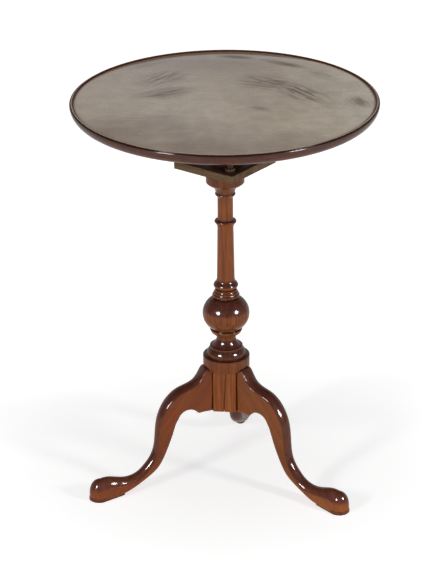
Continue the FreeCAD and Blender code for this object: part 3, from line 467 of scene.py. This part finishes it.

# Tray top: brown field with a painted sheen along the middle and to one side, worn streaks, rim in bands of
# painted reflection and painted shade, dark red edge with a painted dark reflection on its upper part, dry
# underside
trayFinish = {
    "field": (0.225, 0.158, 0.104), "pale": (0.325, 0.252, 0.176), "worn": (0.078, 0.038, 0.023),
    "sheenSide": (0.450, 0.385, 0.305), "edge": (0.068, 0.018, 0.008), "below": (0.12, 0.066, 0.034),
    "grimeAndShade": (0.020, 0.007, 0.004), "grimeAndShadeReach": 0.003, "clear": (0.45, 0.95),
    # bands of the rim, from the field outwards: radius in metres where it begins, colour, polish; the pale
    # bead and cove are painted reflection, the dark slope and shoulder painted shade
    "bands": {
        "coveFoot": (0.2566, (0.205, 0.150, 0.108), 0.3),
        "cove": (0.2577, (0.310, 0.235, 0.170), 0.3),
        "slope": (0.2586, (0.072, 0.022, 0.013), 0.0),
        "bead": (0.2622, (0.360, 0.250, 0.175), 0.2),
        "shoulder": (0.2637, (0.024, 0.007, 0.004), 0.03),
    },
    "bandBlend": 0.00035,
    "edgeTop": (0.7135, 0.7160),           # levels between which the edge turns dark: painted dark reflection on its upper part
    "edgeBlend": 0.001,
    "sideways": (0.55, 0.15), "tuckedUnder": (0.0, -0.15), "facingDown": (-0.75, -0.9),
    "belowReach": (0.250, 0.256, 1.0, 0.0),   # metres out, where the dry underside ends
    "fieldPolish": 0.62, "wornPolish": 0.3, "edgePolish": 0.32,
    "rough": 0.45, "shine": 0.05, "coatRough": 0.08,
    "hairBump": 0.5, "speckBump": 0.3, "bump": 0.03, "bumpDepth": 0.0005,
    # worn patch: degrees round from +X, metres out, heading of its strokes, half length, half width, depth,
    # and how much of it is one even haze
    "patches": {
        "backLeft": (161, 0.236, 62, 0.056, 0.022, 0.50, 0.45),
        "left": (170, 0.160, 88, 0.060, 0.042, 0.80, 0.25),
        "nearLeft": (194, 0.111, 60, 0.060, 0.030, 0.90, 0.5),
        "frontLeft": (244, 0.167, 34, 0.085, 0.014, 0.40, 0.3),
        "right": (90, 0.118, 10, 0.062, 0.046, 0.85, 0.2),
        "farRight": (54, 0.138, -16, 0.074, 0.040, 0.85, 0.2),
        "backRim": (122, 0.231, 25, 0.042, 0.012, 1.0, 0.9),
        "backArc": (98, 0.219, 5, 0.056, 0.012, 0.9, 0.7),
        "backRight": (74, 0.215, -8, 0.036, 0.014, 0.55, 0.3),
        "rightRim": (35, 0.232, -30, 0.036, 0.026, 0.70, 0.3),
        "centre": (4, 0.070, 10, 0.024, 0.010, 0.60, 0.5),
        "backHaze": (140, 0.200, 45, 0.130, 0.060, 0.22, 1.0),
        "frontHaze": (262, 0.180, 30, 0.160, 0.070, 0.25, 1.0),
        "edgeHaze": (307, 0.215, 37, 0.200, 0.060, 0.25, 1.0),
    },
    "patchFade": (0.15, 1.25),             # in half lengths and half widths
    "strokeLength": 0.050, "strokeWidth": 0.0060, "strokeRange": (0.42, 0.58),
    "strokeShift": 10,                     # degrees round per step in the noise, so each patch differs
    "wornMost": 0.95,
    # small dark dents: degrees round, metres out, radius
    "dents": {"back": (110, 0.224, 0.0030), "left": (239, 0.101, 0.0024)},
    "dentCore": 0.4, "dentDepth": 0.9,
    "boardTurn": 37.2,                     # degrees from +X to the board's grain
    "boardStretch": (0.05, 1.0, 1.0), "edgeStretch": (1.0, 0.06, 1.0),
    "paleBand": (0.02, 0.30, 1.0, 0.0),    # metres from the middle of the board
    "paleDrift": (0.4, 0.3),               # cloud level that leaves the band in place, and metres of drift
    "paleSide": (0.04, 0.22, 0.0, 1.0),    # metres towards the paler side, and how far the painted sheen pales it
    "swirlCentre": (-52.8, 0.06),          # degrees and metres: the wiping marks curve round here
    "swirlTurn": 1.9, "swirlRings": 110.0,
    # pattern: scale, detail, roughness
    "hairs": (9.0, 2.0, 0.6), "cloud": (9.0, 4.0, 0.6), "speck": (240.0, 2.0, 0.5),
    "mottle": (34.0, 4.0, 0.65), "boardLines": (170.0, 4.0, 0.65), "edgeGrain": (90.0, 4.0, 0.6),
    "strokes": (1.0, 3.0, 0.6),
    # what each pattern does to the colour
    "tones": {
        "boardLines": (0.28, 0.72, 0.93, 1.05),
        "cloud": (0.3, 0.7, 0.88, 1.10),
        "hairs": (0.3, 0.7, 0.93, 1.05),
        "speck": (0.3, 0.7, 0.95, 1.04),
        "mottle": (0.3, 0.7, 0.91, 1.07),
    },
    "edgeTone": (0.3, 0.7, 0.75, 1.15), "belowTone": (0.3, 0.7, 0.6, 1.2),
}


def trayPatterns(tree, flat):
    # Rings round the wiping centre, and noise in the plane of the board
    swirl = vectorCalc(tree, "SUBTRACT", flat, polar(*trayFinish["swirlCentre"]))
    heading = addNode(tree, "ShaderNodeVectorMath", operation="NORMALIZE")
    feed(tree, swirl, heading.inputs[0])
    rings = combined(tree, z=calc(tree, "MULTIPLY", lengthOf(tree, swirl), trayFinish["swirlRings"]))
    ringSpace = vectorCalc(tree, "ADD", scaled(tree, heading.outputs[0], trayFinish["swirlTurn"]), rings)
    board = addNode(tree, "ShaderNodeMapping")
    board.inputs["Rotation"].default_value = (0, 0, -math.radians(trayFinish["boardTurn"]))
    feed(tree, flat, board.inputs["Vector"])
    boardSpace = stretched(tree, board.outputs[0], trayFinish["boardStretch"])
    spaces = {"hairs": ringSpace, "cloud": flat, "speck": flat, "mottle": flat, "boardLines": boardSpace}
    return {name: noise(tree, space, *trayFinish[name]) for name, space in spaces.items()}


def fieldWithSheen(tree, flat, patterns):
    towardsPale = vectorCalc(tree, "DOT_PRODUCT", flat, polar(trayFinish["boardTurn"], 1))
    acrossBoard = vectorCalc(tree, "DOT_PRODUCT", flat, polar(trayFinish["boardTurn"] + 90, 1))
    stays, drift = trayFinish["paleDrift"]
    drifting = calc(tree, "MULTIPLY", calc(tree, "SUBTRACT", patterns["cloud"], stays), drift)
    fromMiddle = calc(tree, "ABSOLUTE", calc(tree, "ADD", acrossBoard, drifting))
    palest = spread(tree, fromMiddle, *trayFinish["paleBand"])
    # painted sheen: a paler band along the middle of the board
    colour = blend(tree, palest, trayFinish["field"], trayFinish["pale"])
    # painted sheen, paler towards one side of the board
    sheenSide = spread(tree, towardsPale, *trayFinish["paleSide"])
    colour = blend(tree, sheenSide, colour, trayFinish["sheenSide"])
    for name, tone in trayFinish["tones"].items():
        colour = scaled(tree, colour, spread(tree, patterns[name], *tone))
    return colour


def wornPatch(tree, flat, degrees, out, heading, halfLength, halfWidth, depth, haze):
    # Parallel strokes that fade towards the patch's ends
    fromSpot = vectorCalc(tree, "SUBTRACT", flat, polar(degrees, out))
    lengthwise = vectorCalc(tree, "DOT_PRODUCT", fromSpot, polar(heading, 1))
    across = vectorCalc(tree, "DOT_PRODUCT", fromSpot, polar(heading + 90, 1))
    inPatch = combined(
        tree, calc(tree, "DIVIDE", lengthwise, halfLength), calc(tree, "DIVIDE", across, halfWidth))
    near = spread(tree, lengthOf(tree, inPatch), *trayFinish["patchFade"], depth, 0.0)
    strokeSpace = combined(
        tree, calc(tree, "DIVIDE", lengthwise, trayFinish["strokeLength"]),
        calc(tree, "DIVIDE", across, trayFinish["strokeWidth"]), degrees / trayFinish["strokeShift"])
    strokes = noise(tree, strokeSpace, *trayFinish["strokes"])
    return calc(tree, "MULTIPLY", near, spread(tree, strokes, *trayFinish["strokeRange"], haze, 1.0))


def wornMarks(tree, flat):
    worn = None
    for patch in trayFinish["patches"].values():
        mask = wornPatch(tree, flat, *patch)
        worn = mask if worn is None else calc(tree, "MAXIMUM", worn, mask)
    for degrees, out, size in trayFinish["dents"].values():
        away = lengthOf(tree, vectorCalc(tree, "SUBTRACT", flat, polar(degrees, out)))
        dent = spread(tree, away, trayFinish["dentCore"] * size, size, trayFinish["dentDepth"], 0.0)
        worn = calc(tree, "MAXIMUM", worn, dent)
    return calc(tree, "MINIMUM", worn, trayFinish["wornMost"])


def trayWood():
    material, tree, shader = newMaterial("trayWood")
    place = objectPlace(tree)
    flat = stretched(tree, place, (1.0, 1.0, 0.0))
    radius = lengthOf(tree, flat)
    upward = facingUp(tree)
    patterns = trayPatterns(tree, flat)
    worn = wornMarks(tree, flat)
    colour = blend(tree, worn, fieldWithSheen(tree, flat, patterns), trayFinish["worn"])
    polish = spread(tree, worn, 0.0, 1.0, trayFinish["fieldPolish"], trayFinish["wornPolish"])
    # rim bands: painted reflection and painted shade laid by radius
    for begins, bandColour, bandPolish in trayFinish["bands"].values():
        reached = spread(tree, radius, begins - trayFinish["bandBlend"], begins + trayFinish["bandBlend"])
        colour = blend(tree, reached, colour, bandColour)
        polish = spread(tree, reached, 0.0, 1.0, polish, bandPolish, smooth=False)
    # the edge, from the shoulder down and round to the underside, with a painted dark reflection on its
    # upper part
    shoulder, shoulderColour = trayFinish["bands"]["shoulder"][:2]
    outside = spread(tree, radius, shoulder, shoulder + trayFinish["edgeBlend"])
    outside = calc(tree, "MAXIMUM", outside, spread(tree, upward, *trayFinish["tuckedUnder"]))
    sideways = calc(tree, "MULTIPLY", spread(tree, upward, *trayFinish["sideways"]), outside)
    grain = noise(tree, stretched(tree, place, trayFinish["edgeStretch"]), *trayFinish["edgeGrain"])
    edgeColour = scaled(tree, trayFinish["edge"], spread(tree, grain, *trayFinish["edgeTone"]))
    topOfEdge = spread(tree, heightOf(tree, place), *trayFinish["edgeTop"])
    colour = blend(tree, sideways, colour, blend(tree, topOfEdge, edgeColour, shoulderColour))
    # the dry underside
    inside = spread(tree, radius, *trayFinish["belowReach"])
    downward = calc(tree, "MULTIPLY", spread(tree, upward, *trayFinish["facingDown"]), inside)
    belowColour = scaled(tree, trayFinish["below"], spread(tree, grain, *trayFinish["belowTone"]))
    colour = blend(tree, downward, colour, belowColour)
    # painted shade and grime: a dark colour laid where ambient occlusion finds the rim's quirks
    clear = spread(tree, crevices(tree, trayFinish["grimeAndShadeReach"]), *trayFinish["clear"])
    feed(tree, blend(tree, clear, trayFinish["grimeAndShade"], colour), shader.inputs["Base Color"])
    shader.inputs["Roughness"].default_value = trayFinish["rough"]
    shader.inputs["Specular IOR Level"].default_value = trayFinish["shine"]
    polish = spread(tree, sideways, 0.0, 1.0, polish, trayFinish["edgePolish"])
    feed(tree, spread(tree, downward, 0.0, 1.0, polish, 0.0), shader.inputs["Coat Weight"])
    shader.inputs["Coat Roughness"].default_value = trayFinish["coatRough"]
    hairHeight = calc(tree, "MULTIPLY", patterns["hairs"], trayFinish["hairBump"])
    speckHeight = calc(tree, "MULTIPLY", patterns["speck"], trayFinish["speckBump"])
    height = calc(tree, "ADD", hairHeight, speckHeight)
    feed(tree, bumpFrom(tree, height, trayFinish["bump"], trayFinish["bumpDepth"]), shader.inputs["Normal"])
    return material


trayFace = trayWood()

# Metals: bare metal under tarnish, painted shade and grime in the corners
metalSkin = {
    "tarnish": (0.4, 0.68), "tarnishDetail": (4.0, 0.6),
    "gritScale": 900.0, "grit": (0.3, 0.7, 0.85, 1.08),
    "grimeAndShadeReach": 0.004, "clear": (0.3, 0.95),
    "roughFrom": (0.35, 0.7), "tarnishRough": 0.25,
    "bumpDepth": 0.0006,
}


def agedMetal(name, recipe):
    material, tree, shader = newMaterial(name)
    place = objectPlace(tree)
    tarnish = noise(tree, place, recipe["patch"], *metalSkin["tarnishDetail"])
    grit = noise(tree, place, metalSkin["gritScale"])
    beaten = noise(tree, place, recipe["beaten"])
    colour = blend(tree, spread(tree, tarnish, *metalSkin["tarnish"]), recipe["bare"], recipe["tarnish"])
    colour = scaled(tree, colour, spread(tree, grit, *metalSkin["grit"]))
    # painted shade and grime: a dark colour laid where ambient occlusion finds corners
    clear = spread(tree, crevices(tree, metalSkin["grimeAndShadeReach"]), *metalSkin["clear"])
    feed(tree, blend(tree, clear, recipe["grimeAndShade"], colour), shader.inputs["Base Color"])
    shader.inputs["Metallic"].default_value = recipe["metal"]
    dull = recipe["rough"] + metalSkin["tarnishRough"]
    rough = spread(tree, tarnish, *metalSkin["roughFrom"], recipe["rough"], dull)
    feed(tree, rough, shader.inputs["Roughness"])
    feed(tree, bumpFrom(tree, beaten, recipe["bump"], metalSkin["bumpDepth"]), shader.inputs["Normal"])
    return material


catchBrass = agedMetal("catchBrass", {
    "bare": (0.60, 0.42, 0.16), "tarnish": (0.20, 0.125, 0.05), "grimeAndShade": (0.03, 0.02, 0.01),
    "patch": 60.0, "metal": 1.0, "rough": 0.28, "beaten": 150.0, "bump": 0.05})
screwSteel = agedMetal("screwSteel", {
    "bare": (0.30, 0.28, 0.26), "tarnish": (0.11, 0.06, 0.035), "grimeAndShade": (0.02, 0.012, 0.008),
    "patch": 260.0, "metal": 0.9, "rough": 0.42, "beaten": 500.0, "bump": 0.1})
braceIron = agedMetal("braceIron", {
    "bare": (0.075, 0.07, 0.066), "tarnish": (0.10, 0.05, 0.028), "grimeAndShade": (0.012, 0.01, 0.008),
    "patch": 45.0, "metal": 0.7, "rough": 0.5, "beaten": 110.0, "bump": 0.25})
print("materials ready")

# Each piece is a copy of its node, with the edges eased on all but the tray
easing = {
    "mergeWithin": 0.00001,                # metres
    "flatWithin": 0.6, "sharpFrom": 32, "smoothBelow": 40,   # degrees
    "segments": 2,
}


def easedCopy(node, ease, facets):
    source = frame["nodes"][node]
    piece = bpy.data.objects.new(node + "_eased", source.data.copy())
    piece.matrix_world = source.matrix_world
    bpy.context.collection.objects.link(piece)
    pickOnly(piece)
    bpy.ops.object.transform_apply(location=True, rotation=True, scale=True)
    bpy.ops.mesh.customdata_custom_splitnormals_clear()
    bpy.ops.object.mode_set(mode="EDIT")
    bpy.ops.mesh.select_all(action="SELECT")
    bpy.ops.mesh.remove_doubles(threshold=easing["mergeWithin"])
    if facets:
        bpy.ops.mesh.dissolve_limited(angle_limit=math.radians(easing["flatWithin"]))
    bpy.ops.mesh.normals_make_consistent(inside=False)
    bpy.ops.object.mode_set(mode="OBJECT")
    if ease:
        edges = piece.modifiers.new("edges", "BEVEL")
        edges.width = ease
        edges.segments = easing["segments"]
        edges.limit_method = "ANGLE"
        edges.angle_limit = math.radians(easing["sharpFrom"])
        edges.use_clamp_overlap = True
        bpy.ops.object.modifier_apply(modifier="edges")
    bpy.ops.object.shade_smooth_by_angle(angle=math.radians(easing["smoothBelow"]))
    return piece


legSkin = {
    "voxel": 0.0009, "factor": 0.5, "passes": 5, "roundPasses": 60,
    # level in metres and how strongly the section is rounded there: crisp at the pad and the hub
    "rounding": ((0.015, 0.0), (0.021, 1.0), (0.150, 1.0), (0.190, 0.0)),
}


def valueAt(steps, place):
    # value at a place between steps, held at both ends
    for (start, first), (end, last) in zip(steps, steps[1:]):
        if start <= place <= end:
            return first + (last - first) * (place - start) / (end - start)
    return steps[0][1] if place < steps[0][0] else steps[-1][1]


def rub(piece, passes, group=""):
    rubbed = piece.modifiers.new("rubbed", "SMOOTH")
    rubbed.factor = legSkin["factor"]
    rubbed.iterations = passes
    rubbed.vertex_group = group
    bpy.ops.object.modifier_apply(modifier="rubbed")


def smoothLeg(piece):
    pickOnly(piece)
    skin = piece.modifiers.new("skin", "REMESH")
    skin.mode = "VOXEL"
    skin.voxel_size = legSkin["voxel"]
    bpy.ops.object.modifier_apply(modifier="skin")
    rub(piece, legSkin["passes"])
    group = piece.vertex_groups.new(name="rounded")
    for point in piece.data.vertices:
        group.add([point.index], valueAt(legSkin["rounding"], point.co.z), "REPLACE")
    rub(piece, legSkin["roundPasses"], group.name)
    piece.vertex_groups.clear()
    bpy.ops.object.shade_smooth()


# Thin blades cut the crack in the hub and the slots in the screws
def blade(middle, extent, turn, lean=0.0):
    deselectAll()
    turned = (math.radians(lean), 0, math.radians(turn))
    bpy.ops.mesh.primitive_cube_add(size=1, location=middle, rotation=turned)
    cutter = bpy.context.object
    cutter.scale = extent
    bpy.ops.object.transform_apply(location=True, rotation=True, scale=True)
    return cutter


def cutWith(piece, cutters):
    deselectAll()
    for cutter in cutters:
        cutter.select_set(True)
    bpy.context.view_layer.objects.active = cutters[0]
    if len(cutters) > 1:
        bpy.ops.object.join()
    joined = bpy.context.view_layer.objects.active
    pickOnly(piece)
    slit = piece.modifiers.new("slit", "BOOLEAN")
    slit.operation = "DIFFERENCE"
    slit.solver = "EXACT"
    slit.object = joined
    bpy.ops.object.modifier_apply(modifier="slit")
    bpy.ops.object.shade_smooth_by_angle(angle=math.radians(easing["smoothBelow"]))
    bpy.data.objects.remove(joined, do_unlink=True)


hubCrack = {
    "turn": -60, "lean": -2.2,             # degrees round the column, and out of upright
    "low": 0.1375, "high": 0.2172,         # levels in metres
    "hubTop": 0.2072,                      # the hub's face is measured below this level
    "width": 0.0011, "depth": 0.005, "aside": 0.0005,
    "footWidth": 0.0024, "footHeight": 0.016,   # the open foot of the crack
}


def crackHub(column):
    turn = hubCrack["turn"]
    lean = hubCrack["lean"]
    facing = polar(turn, 1)
    tall = hubCrack["high"] - hubCrack["low"]
    reach = max(point.co.dot(facing) for point in column.data.vertices if point.co.z < hubCrack["hubTop"])
    middle = facing * reach + polar(turn + 90, hubCrack["aside"])
    middle.z = (hubCrack["low"] + hubCrack["high"]) / 2
    deep = 2 * hubCrack["depth"]
    crack = blade(middle, (deep, hubCrack["width"], tall), turn, lean)
    foot = middle + polar(turn + 90, math.tan(math.radians(-lean)) * -tall / 2)
    foot.z = hubCrack["low"]
    splay = blade(foot, (deep, hubCrack["footWidth"], 2 * hubCrack["footHeight"]), turn, lean)
    pickOnly(splay)
    bpy.ops.object.mode_set(mode="EDIT")
    bpy.ops.mesh.select_all(action="DESELECT")
    bpy.ops.object.mode_set(mode="OBJECT")
    for point in splay.data.vertices:
        point.select = point.co.z > hubCrack["low"]
    bpy.ops.object.mode_set(mode="EDIT")
    bpy.ops.mesh.merge(type="CENTER")
    bpy.ops.object.mode_set(mode="OBJECT")
    cutWith(column, [crack])
    cutWith(column, [splay])


screwSlots = {
    # node: slot width and depth in metres
    "batten_screws": (0.0010, 0.0009),
    "catch_screws": (0.0007, 0.0005),
}
slotTurns = (20, 75, 140, 10, 115, 50)     # degrees, as the screws were driven home
slotOverrun = 1.3                          # blade's length in widths of a head


def looseBoxes(piece):
    # lowest and highest corner of each separate screw in the mesh
    group = list(range(len(piece.data.vertices)))

    def root(index):
        while group[index] != index:
            group[index] = group[group[index]]
            index = group[index]
        return index

    for edge in piece.data.edges:
        group[root(edge.vertices[0])] = root(edge.vertices[1])
    islands = {}
    for point in piece.data.vertices:
        islands.setdefault(root(point.index), []).append(point.co.copy())
    boxes = []
    for points in islands.values():
        low = Vector(min(point[axis] for point in points) for axis in range(3))
        high = Vector(max(point[axis] for point in points) for axis in range(3))
        boxes.append((low, high))
    return sorted(boxes, key=lambda box: (round(box[0].x, 4), round(box[0].y, 4)))


def slotScrews(piece, wide, deep):
    cutters = []
    for number, (low, high) in enumerate(looseBoxes(piece)):
        middle = (low + high) / 2
        middle.z = low.z
        extent = (slotOverrun * (high.x - low.x), wide, 2 * deep)
        cutters.append(blade(middle, extent, slotTurns[number % len(slotTurns)]))
    cutWith(piece, cutters)


def dress(piece, node, material):
    piece.data.materials.clear()
    piece.data.materials.append(material)
    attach(piece, frame["nodes"][node]["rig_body"])
    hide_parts(node)
    polished["trayPolish" if node == "tray_top" else "polish"].objects.link(piece)


dressing = {
    # node: ease in metres, flat faces merged, slot, material
    "tray_top": (0, False, "tray_wood", trayFace),
    "batten_near": (0.0012, True, "batten_wood", battenWood),
    "batten_far": (0.0012, True, "batten_wood", battenWood),
    "batten_screws": (0.0002, False, "screw_steel", screwSteel),
    "catch_plate": (0.0003, True, "catch_brass", catchBrass),
    "catch_screws": (0.0002, False, "catch_brass", catchBrass),
    "catch_bolt": (0.0003, True, "catch_brass", catchBrass),
    "strike_plate": (0.0002, True, "catch_brass", catchBrass),
    "strike_pins": (0.0002, False, "catch_brass", catchBrass),
    "cage_upper_plate": (0.0008, True, "cage_wood", cageWood),
    "cage_lower_plate": (0.0008, True, "cage_wood", cageWood),
    "colonnette_1": (0.0002, False, "cage_wood", postWood),
    "colonnette_2": (0.0002, False, "cage_wood", postWood),
    "colonnette_3": (0.0002, False, "cage_wood", postWood),
    "colonnette_4": (0.0002, False, "cage_wood", postWood),
    "collar": (0.0004, False, "column_wood", postWood),
    "key_wedge": (0.0006, True, "column_wood", postWood),
    "column": (0.0003, False, "column_wood", columnWood),
    "leg_right": (0.0010, False, "leg_wood", legWoods["right"]),
    "leg_rear": (0.0010, False, "leg_wood", legWoods["rear"]),
    "leg_left": (0.0010, False, "leg_wood", legWoods["left"]),
    "brace_plate": (0.0005, True, "brace_iron", braceIron),
    "brace_nails": (0.0003, False, "brace_iron", braceIron),
}
for node, (ease, facets, slot, material) in dressing.items():
    piece = easedCopy(node, ease, facets)
    if node == "column":
        crackHub(piece)
    if node.startswith("leg_"):
        smoothLeg(piece)
    if node in screwSlots:
        slotScrews(piece, *screwSlots[node])
    dress(piece, node, material)
print("pieces dressed")
